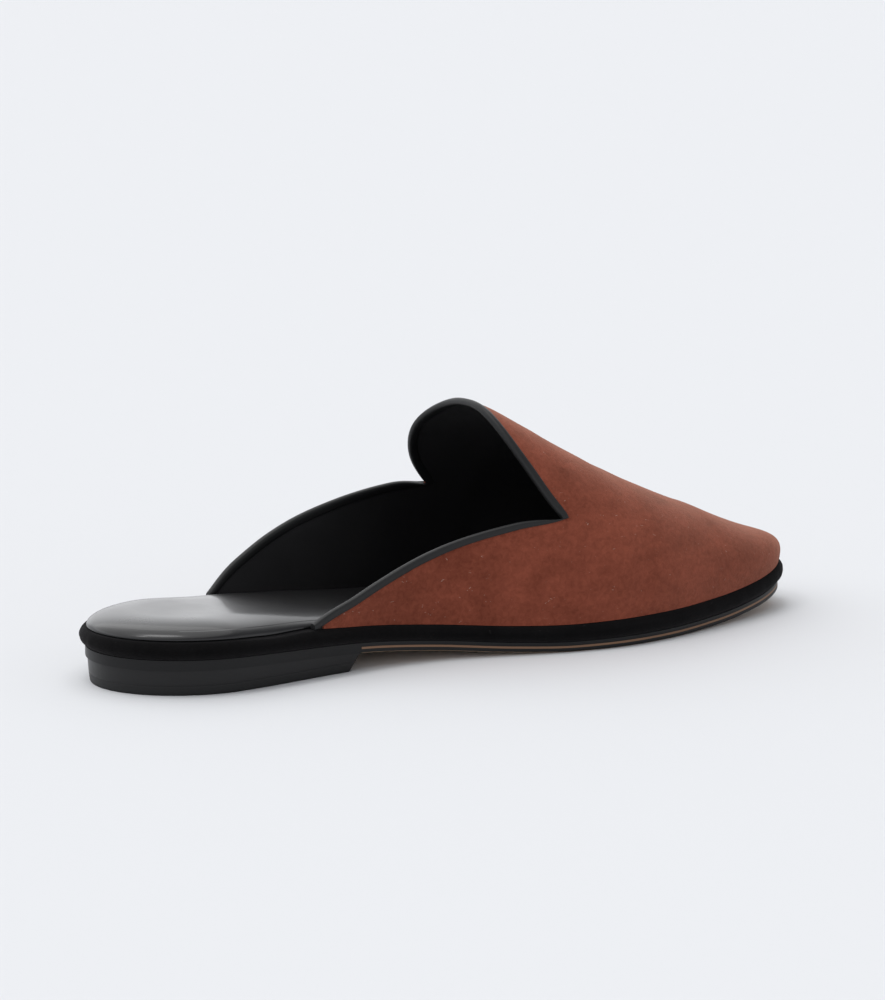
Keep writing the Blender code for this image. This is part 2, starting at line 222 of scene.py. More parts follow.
def spline(read, at, values):
    """Natural cubic spline through the points."""
    span = np.diff(at)
    steep = np.diff(values) / span
    system, pull = np.eye(len(at)), np.zeros(len(at))
    for k in range(1, len(at) - 1):
        system[k, k - 1:k + 2] = span[k - 1], 2 * (span[k - 1] + span[k]), span[k]
        pull[k] = 6 * (steep[k] - steep[k - 1])
    bend = np.linalg.solve(system, pull)
    k = np.clip(np.searchsorted(at, read, side="right") - 1, 0, len(span) - 1)
    ahead, behind, wide = at[k + 1] - read, read - at[k], span[k]
    return (
        (bend[k] * ahead ** 3 + bend[k + 1] * behind ** 3) / (6 * wide)
        + (values[k] / wide - bend[k] * wide / 6) * ahead
        + (values[k + 1] / wide - bend[k + 1] * wide / 6) * behind
    )


def step(read, start, end):
    """0 before start, 1 after end, 3t^2 - 2t^3 between."""
    t = np.clip((read - start) / (end - start), 0, 1)
    return t * t * (3 - 2 * t)


def round_end(share, roundness=2.0):
    """Quarter of an oval: (1 - (1 - share)^n)^(1/n)."""
    return (1 - np.clip(1 - share, 0, 1) ** roundness) ** (1 / roundness)


def plan(turn):
    """Sole's edge: along is (1 - cos turn) / 2, the half width a spline with oval ends."""
    along = (1 - np.cos(turn)) / 2
    half = spline(along, PLAN[:, 0], PLAN[:, 1] * HEEL_WIDTH / 2 + PLAN[:, 2] * BALL_WIDTH / 2)
    half = half * round_end(along / HEEL_CAP) * round_end((1 - along) / TOE_CAP, TOE_ROUNDNESS)
    middle = -spline(along, PLAN[:, 0], PLAN[:, 3]) * BALL_WIDTH
    return np.stack([along * LENGTH, middle + np.sign(np.sin(turn)) * half], axis=-1)


def edge(turn, offset):
    """The sole's edge moved outwards, square to its own direction."""
    nudge = 0.01
    way = plan(turn + nudge) - plan(turn - nudge)
    way = way / np.linalg.norm(way, axis=-1, keepdims=True)
    out = np.stack([-way[..., 1], way[..., 0]], axis=-1)
    return plan(turn) + np.asarray(offset)[..., None] * out


def sole_bottom(along):
    """Height of the sole's underside: a share of the heel's height and one of the toe spring."""
    arch = smooth(along, SIDE_VIEW[:, 0], SIDE_VIEW[:, 1]) * HEEL_HEIGHT
    return arch + smooth(along, SIDE_VIEW[:, 0], SIDE_VIEW[:, 2]) * TOE_SPRING


def sole_top(along):
    """Height of the sole's top: its underside plus the leather's thickness."""
    return sole_bottom(along) + SOLE_THICKNESS


def band_top(along):
    """Height of the band's top: the sole's top, a hair's gap and a share of the band's height."""
    height = smooth(along, SIDE_VIEW[:, 0], SIDE_VIEW[:, 3]) * BAND_HEIGHT
    return sole_top(along) + CLEARANCE + height


cad_outline = plan(np.linspace(0, 2 * np.pi, CAD_TURNS, endpoint=False))
sole_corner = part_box("outsole")[1]
TO_FRAME = np.array([
    sole_corner[0] - cad_outline[:, 0].max(),
    sole_corner[1] - cad_outline[:, 1].max(),
    0.0,
])


def grid_faces(rows, columns, loop=False):
    """Quads of a grid of points, its rows joined end to start where loop is true."""
    start = np.arange(rows - 1)[:, None] * columns
    near = np.arange(columns if loop else columns - 1)
    a, b = start + near, start + (near + 1) % columns
    return np.stack([a, b, b + columns, a + columns], axis=-1).reshape(-1, 4)


def add_piece(name, points, faces, material, slot, nodes=()):
    """A closed mesh: points that coincide are merged and the faces turned outwards."""
    mesh = bpy.data.meshes.new(name)
    mesh.from_pydata((points + TO_FRAME).tolist(), [], faces.tolist())
    shell = bmesh.new()
    shell.from_mesh(mesh)
    bmesh.ops.remove_doubles(shell, verts=shell.verts, dist=MERGE_DISTANCE)
    bmesh.ops.recalc_face_normals(shell, faces=shell.faces)
    shell.to_mesh(mesh)
    shell.free()
    mesh.materials.append(material)
    mesh.shade_smooth()
    mesh.set_sharp_from_angle(angle=np.radians(SHARP_ANGLE))
    piece = bpy.data.objects.new(name, mesh)
    scene.collection.objects.link(piece)
    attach(piece, "root")
    if nodes:
        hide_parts(*nodes)
    return piece


def ring(turns, offset, height):
    """One level of a plate: the sole's edge moved out by offset, at height(along)."""
    along = (1 - np.cos(turns)) / 2
    return np.column_stack([edge(turns, np.full(len(turns), offset)), height(along)])


def inner_rings(rim, shares, height):
    """The face of a plate: its rim drawn in towards the line halfway across, at height(points)."""
    across = (rim + rim[-np.arange(len(rim)) % len(rim)]) / 2
    rings = []
    for share in shares:
        level = across + (rim - across) * share
        level[:, 2] = height(level)
        rings.append(level)
    return rings


def plate(levels):
    """A closed plate from rings that start and end on the line halfway across."""
    points = np.vstack(levels)
    return points, grid_faces(len(levels), len(levels[0]), loop=True)


def outsole_shape():
    """Rounded edge of four levels between a flat ruled top and underside."""
    turns = np.linspace(0, 2 * np.pi, TURNS, endpoint=False)
    curve = np.linspace(0, np.pi / 2, 5)
    inwards = SOLE_EDGE_ROUND * (1 - np.sin(curve))
    upwards = SOLE_EDGE_ROUND * (1 - np.cos(curve))
    under = [ring(turns, -i, lambda a, u=u: sole_bottom(a) + u) for i, u in zip(inwards, upwards)]
    over = [ring(turns, -i, lambda a, u=u: sole_top(a) - u) for i, u in zip(inwards, upwards)][::-1]
    shares = np.linspace(0, 1, 12)[:-1]
    low = inner_rings(under[0], shares, lambda p: sole_bottom(p[:, 0] / LENGTH))
    high = inner_rings(over[-1], shares[::-1], lambda p: sole_top(p[:, 0] / LENGTH))
    return plate(low + under + over + high)


def ink_strip(first, last, low, high, thick=INK, lap=INK_TUCK, under=INK_TUCK):
    """A thin coat on the sole's edge between two heights above its underside, from turn to turn.

    It laps inwards over the sole's top and under it. Its two ends are closed by one face each.
    """
    turns = np.linspace(first, last, TURNS)
    middle, half = (low + high) / 2, (high - low) / 2
    section = [
        (-under, low),
        (thick * 0.5, low),
        (thick, low + half * 0.3),
        (thick, middle),
        (thick, high - half * 0.3),
        (thick * 0.5, high),
        (-lap, high),
    ]
    levels = [ring(turns, offset, lambda a, up=up: sole_bottom(a) + up) for offset, up in section]
    points = np.stack(levels, axis=1).reshape(-1, 3)
    count = len(section)
    ends = [list(range(count)), list(range(len(points) - count, len(points)))]
    return points, np.array(grid_faces(len(turns), count, loop=True).tolist() + ends, dtype=object)


def grain_group():
    """Leather grain: pebbles from a cell pattern, and a slow shade over the hide."""
    group = bpy.data.node_groups.new("leather grain", "ShaderNodeTree")
    group.interface.new_socket("Vector", in_out="INPUT", socket_type="NodeSocketVector")
    for name, value in (("Pebble Scale", 900.0), ("Cloud Scale", 22.0)):
        socket = group.interface.new_socket(name, in_out="INPUT", socket_type="NodeSocketFloat")
        socket.default_value = value
    for name in ("Height", "Cloud", "Fine"):
        group.interface.new_socket(name, in_out="OUTPUT", socket_type="NodeSocketFloat")
    nodes, link = group.nodes, group.links.new
    start, end = nodes.new("NodeGroupInput"), nodes.new("NodeGroupOutput")
    cells = nodes.new("ShaderNodeTexVoronoi")
    cells.feature = "DISTANCE_TO_EDGE"
    fine = nodes.new("ShaderNodeTexNoise")
    fine.inputs["Detail"].default_value = 5.0
    cloud = nodes.new("ShaderNodeTexNoise")
    cloud.inputs["Detail"].default_value = 4.0
    cap = nodes.new("ShaderNodeMapRange")
    cap.inputs["From Max"].default_value = 0.22
    cap.interpolation_type = "SMOOTHSTEP"
    for texture, scale in ((cells, "Pebble Scale"), (fine, "Pebble Scale"), (cloud, "Cloud Scale")):
        link(start.outputs["Vector"], texture.inputs["Vector"])
        link(start.outputs[scale], texture.inputs["Scale"])
    link(cells.outputs["Distance"], cap.inputs["Value"])
    link(cap.outputs["Result"], end.inputs["Height"])
    link(cloud.outputs["Fac"], end.inputs["Cloud"])
    link(fine.outputs["Fac"], end.inputs["Fine"])
    return group


GRAIN = grain_group()


def shade_map(material, factor, dark, light, low=0.0, high=1.0):
    """Base colour between dark and light as factor runs from low to high."""
    tree = material.node_tree
    spread = tree.nodes.new("ShaderNodeMapRange")
    spread.inputs["From Min"].default_value = low
    spread.inputs["From Max"].default_value = high
    blend = tree.nodes.new("ShaderNodeMix")
    blend.data_type = "RGBA"
    blend.inputs["A"].default_value = (*dark, 1.0)
    blend.inputs["B"].default_value = (*light, 1.0)
    tree.links.new(factor, spread.inputs["Value"])
    tree.links.new(spread.outputs["Result"], blend.inputs["Factor"])
    tree.links.new(blend.outputs["Result"], tree.nodes["Principled BSDF"].inputs["Base Color"])
    return blend


def bump_from(material, height, strength, distance=BUMP_DEPTH):
    """Relief on the shader's normal from a height that changes over the surface."""
    tree = material.node_tree
    bump = tree.nodes.new("ShaderNodeBump")
    bump.inputs["Strength"].default_value = strength
    bump.inputs["Distance"].default_value = distance
    tree.links.new(height, bump.inputs["Height"])
    tree.links.new(bump.outputs["Normal"], tree.nodes["Principled BSDF"].inputs["Normal"])
    return bump


def rough_map(material, factor, low, high):
    """Roughness between low and high with the factor."""
    tree = material.node_tree
    spread = tree.nodes.new("ShaderNodeMapRange")
    spread.inputs["From Min"].default_value = 0.3
    spread.inputs["From Max"].default_value = 0.7
    spread.inputs["To Min"].default_value = low
    spread.inputs["To Max"].default_value = high
    tree.links.new(factor, spread.inputs["Value"])
    tree.links.new(spread.outputs["Result"], tree.nodes["Principled BSDF"].inputs["Roughness"])


def place_group(material, group, **values):
    """The group in a material, read on the piece's own place in metres."""
    tree = material.node_tree
    where = tree.nodes.new("ShaderNodeTexCoord")
    node = tree.nodes.new("ShaderNodeGroup")
    node.node_tree = group
    tree.links.new(where.outputs["Object"], node.inputs["Vector"])
    for name, value in values.items():
        node.inputs[name.replace("_", " ")].default_value = value
    return node


sole_leather = new_material("natural sole leather", TAN, roughness=0.52, Specular_IOR_Level=0.4)
sole_grain = place_group(sole_leather, GRAIN, Pebble_Scale=1500.0, Cloud_Scale=16.0)
shade_map(
    sole_leather,
    sole_grain.outputs["Cloud"],
    tuple(0.90 * c for c in TAN),
    tuple(1.08 * c for c in TAN),
    low=0.35,
    high=0.65,
)
bump_from(sole_leather, sole_grain.outputs["Fine"], strength=0.12)
add_piece("outsole_leather", *outsole_shape(), sole_leather, "sole_leather", ["outsole"])

edge_ink = new_material("black edge ink", EDGE_INK, roughness=0.40, Specular_IOR_Level=0.25)
ink_grain = place_group(edge_ink, GRAIN, Pebble_Scale=700.0, Cloud_Scale=60.0)
rough_map(edge_ink, ink_grain.outputs["Cloud"], low=0.36, high=0.50)
bump_from(edge_ink, ink_grain.outputs["Fine"], strength=0.10)
breast_turn = np.arccos(1 - 2 * BREAST)
seat_turn = breast_turn + SEAT_INK_PAST_BREAST
ink_top = SOLE_THICKNESS + INK_OVER_TOP
add_piece(
    "sole_edge_lower",
    *ink_strip(breast_turn, 2 * np.pi - breast_turn, INK_LOW, BARE_LINE_LOW),
    edge_ink,
    "heel_finish",
)
add_piece(
    "sole_edge_upper",
    *ink_strip(breast_turn, 2 * np.pi - breast_turn, BARE_LINE_HIGH, ink_top, lap=INK_LAP),
    edge_ink,
    "heel_finish",
)
add_piece(
    "sole_edge_seat",
    *ink_strip(
        -seat_turn, seat_turn, SEAT_INK_LOW, ink_top, lap=INK_LAP, under=SEAT_INK_UNDER
    ),
    edge_ink,
    "heel_finish",
)
bare_edge = new_material("bare leather line", TAN_EDGE, roughness=0.6)
add_piece(
    "sole_edge_line",
    *ink_strip(
        breast_turn, 2 * np.pi - breast_turn, BARE_LINE_LOW, BARE_LINE_HIGH, thick=BARE_COAT
    ),
    bare_edge,
    "sole_leather",
)


# Heel: stacked lifts and a thin rubber top piece, trimmed flush, set a little inside the sole's
# edge, waxed black all round, with the breast face sloping back to the floor.
TOP_PIECE_HEIGHT = 0.0034
HEEL_INSET = 0.0006
HEEL_TAPER = 0.0008
HEEL_FLOOR_EDGE = 0.0004
HEEL_SEAM_EDGE = 0.00005
BREAST_SLOPE = 0.0040
HEEL_TURNS = 161
HEEL_LAYER_GAP = 0.00002
HEEL_UNDER_SOLE = 0.00005
WAX_DEPTH = 0.0003
HEEL_WAX = (0.0075, 0.0073, 0.0078)
HEEL_RUBBER = (0.0080, 0.0080, 0.0084)


def heel_layer(bottom, top, low_edge):
    """One layer of the heel: rings over the sole's seat up to the breast, rounded at both edges.

    The breast face moves back towards the floor by BREAST_SLOPE times the depth below the sole.
    """
    curve = np.linspace(0, np.pi / 2, 4)
    inwards, upwards = 1 - np.sin(curve), 1 - np.cos(curve)
    levels = []
    rows = [(low_edge * i, low_edge * u, 0) for i, u in zip(inwards, upwards)]
    rows += [(0.0, 0.0, share) for share in np.linspace(0.2, 0.8, 4)]
    rows += [
        (HEEL_SEAM_EDGE * i, -HEEL_SEAM_EDGE * u, 1) for i, u in zip(inwards[::-1], upwards[::-1])
    ]
    for inset, lift, share in rows:
        def height(along, lift=lift, share=share):
            """Bottom and top mixed by the share, plus the lift."""
            return bottom(along) * (1 - share) + top(along) * share + lift

        at = height(np.array([BREAST]))[0] / sole_bottom(np.array([BREAST]))[0]
        most = np.arccos(1 - 2 * (BREAST - BREAST_SLOPE / LENGTH * (1 - at) - inset / LENGTH))
        turns = np.linspace(-most, most, HEEL_TURNS)
        levels.append(ring(turns, -HEEL_INSET - HEEL_TAPER * (1 - at) - inset, height))
    count = HEEL_TURNS
    back = np.arange(count)[::-1]

    def face(rim, height, shares):
        """Rings that close a layer: the rim drawn in towards the line halfway across."""
        rings = []
        for share in shares:
            level = (rim + rim[back]) / 2 * (1 - share) + rim * share
            level[:, 2] = height(level[:, 0] / LENGTH)
            rings.append(level)
        return rings

    low = face(levels[0], bottom, (0.0, 0.5))
    high = face(levels[-1], top, (0.5, 0.0))
    levels = low + levels + high
    points = np.vstack(levels)
    first = np.arange(len(levels) - 1) * count
    front = np.stack([first, first + count, first + 2 * count - 1, first + count - 1], axis=-1)
    return points, np.vstack([grid_faces(len(levels), count), front])


def level_at(height):
    """A level face of the heel: the same height all along."""
    return lambda along: np.full(len(along), height)


heel_wax = new_material("black heel wax", HEEL_WAX, roughness=0.38, Specular_IOR_Level=0.32)
wax_grain = place_group(heel_wax, GRAIN, Pebble_Scale=500.0, Cloud_Scale=45.0)
rough_map(heel_wax, wax_grain.outputs["Cloud"], low=0.30, high=0.46)
bump_from(heel_wax, wax_grain.outputs["Fine"], strength=0.12, distance=WAX_DEPTH)
heel_rubber = new_material("black rubber", HEEL_RUBBER, roughness=0.50, Specular_IOR_Level=0.32)
rubber_grain = place_group(heel_rubber, GRAIN, Pebble_Scale=1800.0, Cloud_Scale=30.0)
bump_from(heel_rubber, rubber_grain.outputs["Fine"], strength=0.2)
add_piece(
    "heel_top_piece",
    *heel_layer(level_at(0.0), level_at(TOP_PIECE_HEIGHT), HEEL_FLOOR_EDGE),
    heel_rubber,
    "heel_rubber",
    ["top_piece"],
)
add_piece(
    "heel_stack",
    *heel_layer(
        level_at(TOP_PIECE_HEIGHT + HEEL_LAYER_GAP),
        lambda along: sole_bottom(along) - HEEL_UNDER_SOLE,
        HEEL_SEAM_EDGE,
    ),
    heel_wax,
    "heel_finish",
    ["heel_lift"],
)


# Band: a filler between sole and upper, covered all round with a strip of black suede that is
# drawn over it and tucked in above and below, so that it bulges.
BAND_BULGE = 0.0021
BAND_LEAN = 0.0004
BAND_FULLNESS = 0.7
BAND_LEVELS = 27
INSOLE_DROP = 0.0015
INSOLE_DROP_START = 0.17
INSOLE_DROP_END = 0.25
NAP_DEPTH = 0.0004
BLACK_SUEDE = (0.0036, 0.0034, 0.0036)
BAND_WAVES = [
    # size in metres, waves in one round, phase
    (0.00010, 11, 0.6),
    (0.00007, 23, 2.0),
    (0.00005, 47, 1.1),
    (0.00004, 83, 0.3),
]


def insole_drop(along):
    """How far the insole's edge lowers the band's top: all of it at the heel, none at the wings."""
    return INSOLE_DROP * (1 - step(along, INSOLE_DROP_START, INSOLE_DROP_END))


def band_edge_top(along):
    """Height of the band's top where the insole's edge lies on it."""
    return band_top(along) - insole_drop(along)


def band_shape():
    """Rings whose offset follows a sine of the height to a power, with slow waves of the cover."""
    turns = np.linspace(0, 2 * np.pi, TURNS, endpoint=False)
    along = (1 - np.cos(turns)) / 2
    height = band_edge_top(along) - sole_top(along) - CLEARANCE
    wave = sum(size * np.sin(count * turns + phase) for size, count, phase in BAND_WAVES)
    rings = []
    for share in np.linspace(0, 1, BAND_LEVELS):
        swell = np.sin(np.pi * share) ** BAND_FULLNESS
        offset = BAND_LEAN * (2 * share - 1) + (BAND_BULGE + wave) * swell
        level = np.column_stack([edge(turns, offset), band_edge_top(along) - height * (1 - share)])
        rings.append(level)
    shares = np.linspace(0, 1, 6)[:-1]
    low = inner_rings(rings[0], shares, lambda p: sole_top(p[:, 0] / LENGTH) + CLEARANCE)
    high = inner_rings(rings[-1], shares[::-1], lambda p: band_edge_top(p[:, 0] / LENGTH))
    return plate(low + rings + high)


def nap_group():
    """Suede nap: fine fibre height, brushed clouds of shade, and rare pale lint."""
    group = bpy.data.node_groups.new("suede nap", "ShaderNodeTree")
    group.interface.new_socket("Vector", in_out="INPUT", socket_type="NodeSocketVector")
    for name, value in (("Fibre Scale", 2400.0), ("Cloud Scale", 30.0), ("Lint", 0.75)):
        socket = group.interface.new_socket(name, in_out="INPUT", socket_type="NodeSocketFloat")
        socket.default_value = value
    for name in ("Height", "Shade", "Lint"):
        group.interface.new_socket(name, in_out="OUTPUT", socket_type="NodeSocketFloat")
    nodes, link = group.nodes, group.links.new
    start, end = nodes.new("NodeGroupInput"), nodes.new("NodeGroupOutput")

    def noise(scale, detail, distortion=0.0, stretch=None):
        """Noise on the piece's own place, stretched along an axis where fibres lie one way."""
        texture = nodes.new("ShaderNodeTexNoise")
        texture.inputs["Detail"].default_value = detail
        texture.inputs["Distortion"].default_value = distortion
        source = start.outputs["Vector"]
        if stretch:
            turn = nodes.new("ShaderNodeMapping")
            turn.inputs["Scale"].default_value = stretch
            link(source, turn.inputs["Vector"])
            source = turn.outputs["Vector"]
        link(source, texture.inputs["Vector"])
        if isinstance(scale, str):
            link(start.outputs[scale], texture.inputs["Scale"])
        else:
            texture.inputs["Scale"].default_value = scale
        return texture.outputs["Fac"]

    def mix(a, b, share):
        """a * (1 - share) + b * share."""
        node = nodes.new("ShaderNodeMix")
        node.inputs["Factor"].default_value = share
        link(a, node.inputs["A"])
        link(b, node.inputs["B"])
        return node.outputs["Result"]

    fibre = noise("Fibre Scale", 3.0, 0.6)
    tuft = noise(620.0, 4.0, 0.8)
    cloud = noise("Cloud Scale", 6.0, 1.2)
    brushed = noise(140.0, 4.0, 0.5, (0.35, 1.0, 1.0))
    link(mix(fibre, tuft, 0.45), end.inputs["Height"])
    link(mix(mix(cloud, brushed, 0.42), tuft, 0.36), end.inputs["Shade"])
    fleck = noise(760.0, 1.0, 1.5, (0.5, 1.3, 1.0))
    keep = nodes.new("ShaderNodeMapRange")
    keep.inputs["From Max"].default_value = 0.80
    link(fleck, keep.inputs["Value"])
    link(start.outputs["Lint"], keep.inputs["From Min"])
    link(keep.outputs["Result"], end.inputs["Lint"])
    return group


NAP = nap_group()


def suede(name, dark, light, lint, lint_colour, sheen, tint, strength, **values):
    """Suede: nap over a shade that runs from dark to light, with sheen for the standing fibres."""
    material = new_material(
        name,
        light,
        0.92,
        Specular_IOR_Level=0.06,
        Sheen_Weight=sheen,
        Sheen_Roughness=0.45,
        Sheen_Tint=(*tint, 1.0),
    )
    nap = place_group(material, NAP, **values)
    base = shade_map(material, nap.outputs["Shade"], dark, light, 0.36, 0.64)
    tree = material.node_tree
    amount = tree.nodes.new("ShaderNodeMath")
    amount.operation = "MULTIPLY"
    amount.inputs[1].default_value = lint
    dust = tree.nodes.new("ShaderNodeMix")
    dust.data_type = "RGBA"
    dust.inputs["B"].default_value = (*lint_colour, 1.0)
    tree.links.new(nap.outputs["Lint"], amount.inputs[0])
    tree.links.new(amount.outputs[0], dust.inputs["Factor"])
    tree.links.new(base.outputs["Result"], dust.inputs["A"])
    tree.links.new(dust.outputs["Result"], tree.nodes["Principled BSDF"].inputs["Base Color"])
    bump_from(material, nap.outputs["Height"], strength, NAP_DEPTH)
    return material


band_suede = suede(
    "black suede",
    tuple(0.7 * c for c in BLACK_SUEDE),
    tuple(1.3 * c for c in BLACK_SUEDE),
    lint=0.12,
    lint_colour=(0.10, 0.095, 0.09),
    sheen=0.06,
    tint=(0.75, 0.72, 0.75),
    strength=0.5,
    Cloud_Scale=60.0,
)
add_piece("band_cover", *band_shape(), band_suede, "black_suede", ["band"])


# Insole: foam and board under smooth polished black leather, padded so that it crowns, its edge
# rolled over the band at the heel and tucked in beside the lining further forward. It is bare.
INSOLE_THICKNESS = 0.0024
INSOLE_CROWN = 0.0012
INSOLE_HEEL_INSET = 0.0004
INSOLE_SLOPE = 0.018
INSOLE_ROLL = 0.0030
INSOLE_UNDERCUT = 0.0003
ROLL_RINGS = 16
CUSHION_RINGS = 34
POINTS_AT_ONCE = 60
INSOLE_TUCK_START = 0.10
INSOLE_TUCK_END = 0.20
WALL = 0.0018
BINDING_PROUD = 0.0004
UPPER_OUTLINE = 0.0003
INSOLE_INSET = WALL + BINDING_PROUD + 2 * CLEARANCE - UPPER_OUTLINE
POLISHED_BLACK = (0.0085, 0.0083, 0.0090)


def insole_shape():
    """A cushion whose height is a quarter oval of the distance from its edge.

    Height is depth * sqrt(1 - (1 - distance / INSOLE_SLOPE)^2), level from INSOLE_SLOPE inwards.
    At the heel the depth grows by insole_drop, so that the rolled edge hangs over the band.
    """
    turns = np.linspace(0, 2 * np.pi, TURNS, endpoint=False)
    along = (1 - np.cos(turns)) / 2
    tuck = INSOLE_HEEL_INSET + (INSOLE_INSET - INSOLE_HEEL_INSET) * step(
        along, INSOLE_TUCK_START, INSOLE_TUCK_END
    )
    base = band_edge_top(along) + CLEARANCE
    depth = INSOLE_THICKNESS + INSOLE_CROWN - INSOLE_UNDERCUT
    roll = np.linspace(0, np.arccos(1 - INSOLE_ROLL / INSOLE_SLOPE), ROLL_RINGS)
    rings = [np.column_stack([edge(turns, -(tuck + INSOLE_UNDERCUT)), base])]
    for angle in roll:
        inwards = tuck + INSOLE_SLOPE * (1 - np.cos(angle))
        rise = INSOLE_UNDERCUT + (depth + insole_drop(along)) * np.sin(angle)
        rings.append(np.column_stack([edge(turns, -inwards), base + rise]))
    rim = edge(turns, -tuck)

    def cushion(points):
        """Height of the cushion over points inside the roll, from their distance to the edge."""
        gap = np.empty(len(points))
        for start in range(0, len(points), POINTS_AT_ONCE):
            some = slice(start, start + POINTS_AT_ONCE)
            apart = points[some, None, :2] - rim[None]
            gap[some] = np.sqrt((apart ** 2).sum(axis=2)).min(axis=1)
        share = 1 - np.clip(gap / INSOLE_SLOPE, 0, 1)
        at = points[:, 0] / LENGTH
        foot = band_edge_top(at) + CLEARANCE + INSOLE_UNDERCUT
        return foot + (depth + insole_drop(at)) * np.sqrt(1 - share ** 2)

    low = inner_rings(rings[0], (0.0, 0.5), lambda p: band_edge_top(p[:, 0] / LENGTH) + CLEARANCE)
    shares = np.sin(np.linspace(0, np.pi / 2, CUSHION_RINGS))[::-1][1:]
    high = inner_rings(rings[-1], shares, cushion)
    return plate(low + rings + high)


polished = new_material(
    "polished black leather",
    POLISHED_BLACK,
    roughness=0.30,
    Specular_IOR_Level=0.32,
    Coat_Weight=0.34,
    Coat_Roughness=0.10,
)
polish_grain = place_group(polished, GRAIN, Pebble_Scale=1300.0, Cloud_Scale=35.0)
rough_map(polished, polish_grain.outputs["Cloud"], low=0.27, high=0.36)
bump_from(polished, polish_grain.outputs["Fine"], strength=0.06)
footbed = add_piece("footbed", *insole_shape(), polished, "black_leather", ["insole"])


# Upper: one cut of rust suede lasted over the foot, closed over the toes, with two low wings
# and a round tab that stands over the instep. Its foot is glued down on the band's inner edge.
INSTEP_HEIGHT = 0.079
TOE_BOX_LENGTH = 0.046
RIDGE_RUN = 0.012
SIDE_RISE = 0.98
TOE_POWER = 1.00
TOE_BELLY = 0.080
WING_RIBS = 84
TAB_RIBS = 96
CAD_WING_RIBS = 22
NOTCH_SPREAD = 6
RIB_BOW = 0.40
NOTCH_FOOT = 0.50
UPPER_ROWS = 84
ROW_SPREAD = 1.5
SUEDE_WALL = 0.0010
WING_END_DIP = 0.0022
WING_END_TAPER = 0.015
NOTCH_DIP = 0.0020
NOTCH_DIP_RIBS = 5.0
NOTCH_RIBS = 3.0
END_RIBS = 3
LINING_END_RIBS = 1
SIDE_READS = 900
SIDE_END_TURN = 0.02
FRONT_READS = 1200
EDGE_READS = 600
FOOT_READS = 1500
RIB_READS = 181
SETTLE_FROM_FOOT = 0.006
SETTLE_FROM_TOP = (0.001, 0.007)
RUST_DARK = (0.122, 0.029, 0.016)
RUST_LIGHT = (0.242, 0.063, 0.037)

RIDGE = np.array([
    # along, height, swing to the inner side
    (0.00, 1.08, 0.00),
    (0.30, 1.08, 0.00),
    (0.42, 1.05, 0.01),
    (0.52, 1.00, 0.03),
    (0.60, 0.86, 0.05),
    (0.65, 0.75, 0.06),
    (0.70, 0.65, 0.07),
    (0.76, 0.54, 0.08),
    (0.80, 0.47, 0.09),
    (0.84, 0.405, 0.09),
])
SECTION = np.array([
    # along, power, belly
    (0.00, 0.80, 0.040),
    (0.50, 0.80, 0.035),
    (0.62, 0.77, 0.050),
    (0.74, 0.68, 0.095),
    (0.84, 0.64, 0.125),
])
COLLAR = np.array([
    # outer along, outer up, inner along, inner up
    (0.232, 0.025, 0.240, 0.025),
    (0.273, 0.094, 0.2895, 0.060),
    (0.322, 0.166, 0.3425, 0.116),
    (0.380, 0.234, 0.401, 0.184),
    (0.440, 0.286, 0.459, 0.246),
    (0.510, 0.332, 0.520, 0.304),
    (0.580, 0.368, 0.584, 0.360),
])
TAB = np.array([
    # outer along, inner along, up
    (0.580, 0.584, 0.368),
    (0.552, 0.569, 0.430),
    (0.536, 0.557, 0.500),
    (0.530, 0.544, 0.600),
    (0.536, 0.535, 0.720),
    (0.541, 0.532, 0.850),
    (0.536, 0.536, 1.000),
])


def side_reach(x, side):
    """Y of the upper's foot at x, on the outer (1) or inner (-1) side."""
    turns = np.linspace(SIDE_END_TURN, np.pi - SIDE_END_TURN, SIDE_READS) * side
    foot = edge(turns, np.full(len(turns), UPPER_OUTLINE))
    return np.interp(x, foot[:, 0], foot[:, 1])


def ridge_y(x):
    """Y of the last's ridge at x, which swings to the inner side towards the toe."""
    return -smooth(x / LENGTH, RIDGE[:, 0], RIDGE[:, 2]) * BALL_WIDTH


def ridge_front():
    """Place where the ridge ends and the toe's sections begin to fan out."""
    x = LENGTH - TOE_BOX_LENGTH
    return np.array([x, ridge_y(np.array([x]))[0]])


def front_reach(angle):
    """Distance from the front end of the ridge to the upper's foot, round the toe."""
    turns = np.linspace(0.5 * np.pi, 1.5 * np.pi, FRONT_READS)
    foot = edge(turns, np.full(len(turns), UPPER_OUTLINE)) - ridge_front()
    around = np.unwrap(np.arctan2(foot[:, 1], foot[:, 0]))
    return np.interp(angle, around[::-1], np.hypot(foot[:, 0], foot[:, 1])[::-1])


def ridge_slope():
    """Fall of the ridge over its last stretch: rise over run, carried on round the toe."""
    front = LENGTH - TOE_BOX_LENGTH
    along = np.array([front - RIDGE_RUN, front]) / LENGTH
    height = band_top(along) + smooth(along, RIDGE[:, 0], RIDGE[:, 1]) * INSTEP_HEIGHT
    return (height[1] - height[0]) / RIDGE_RUN


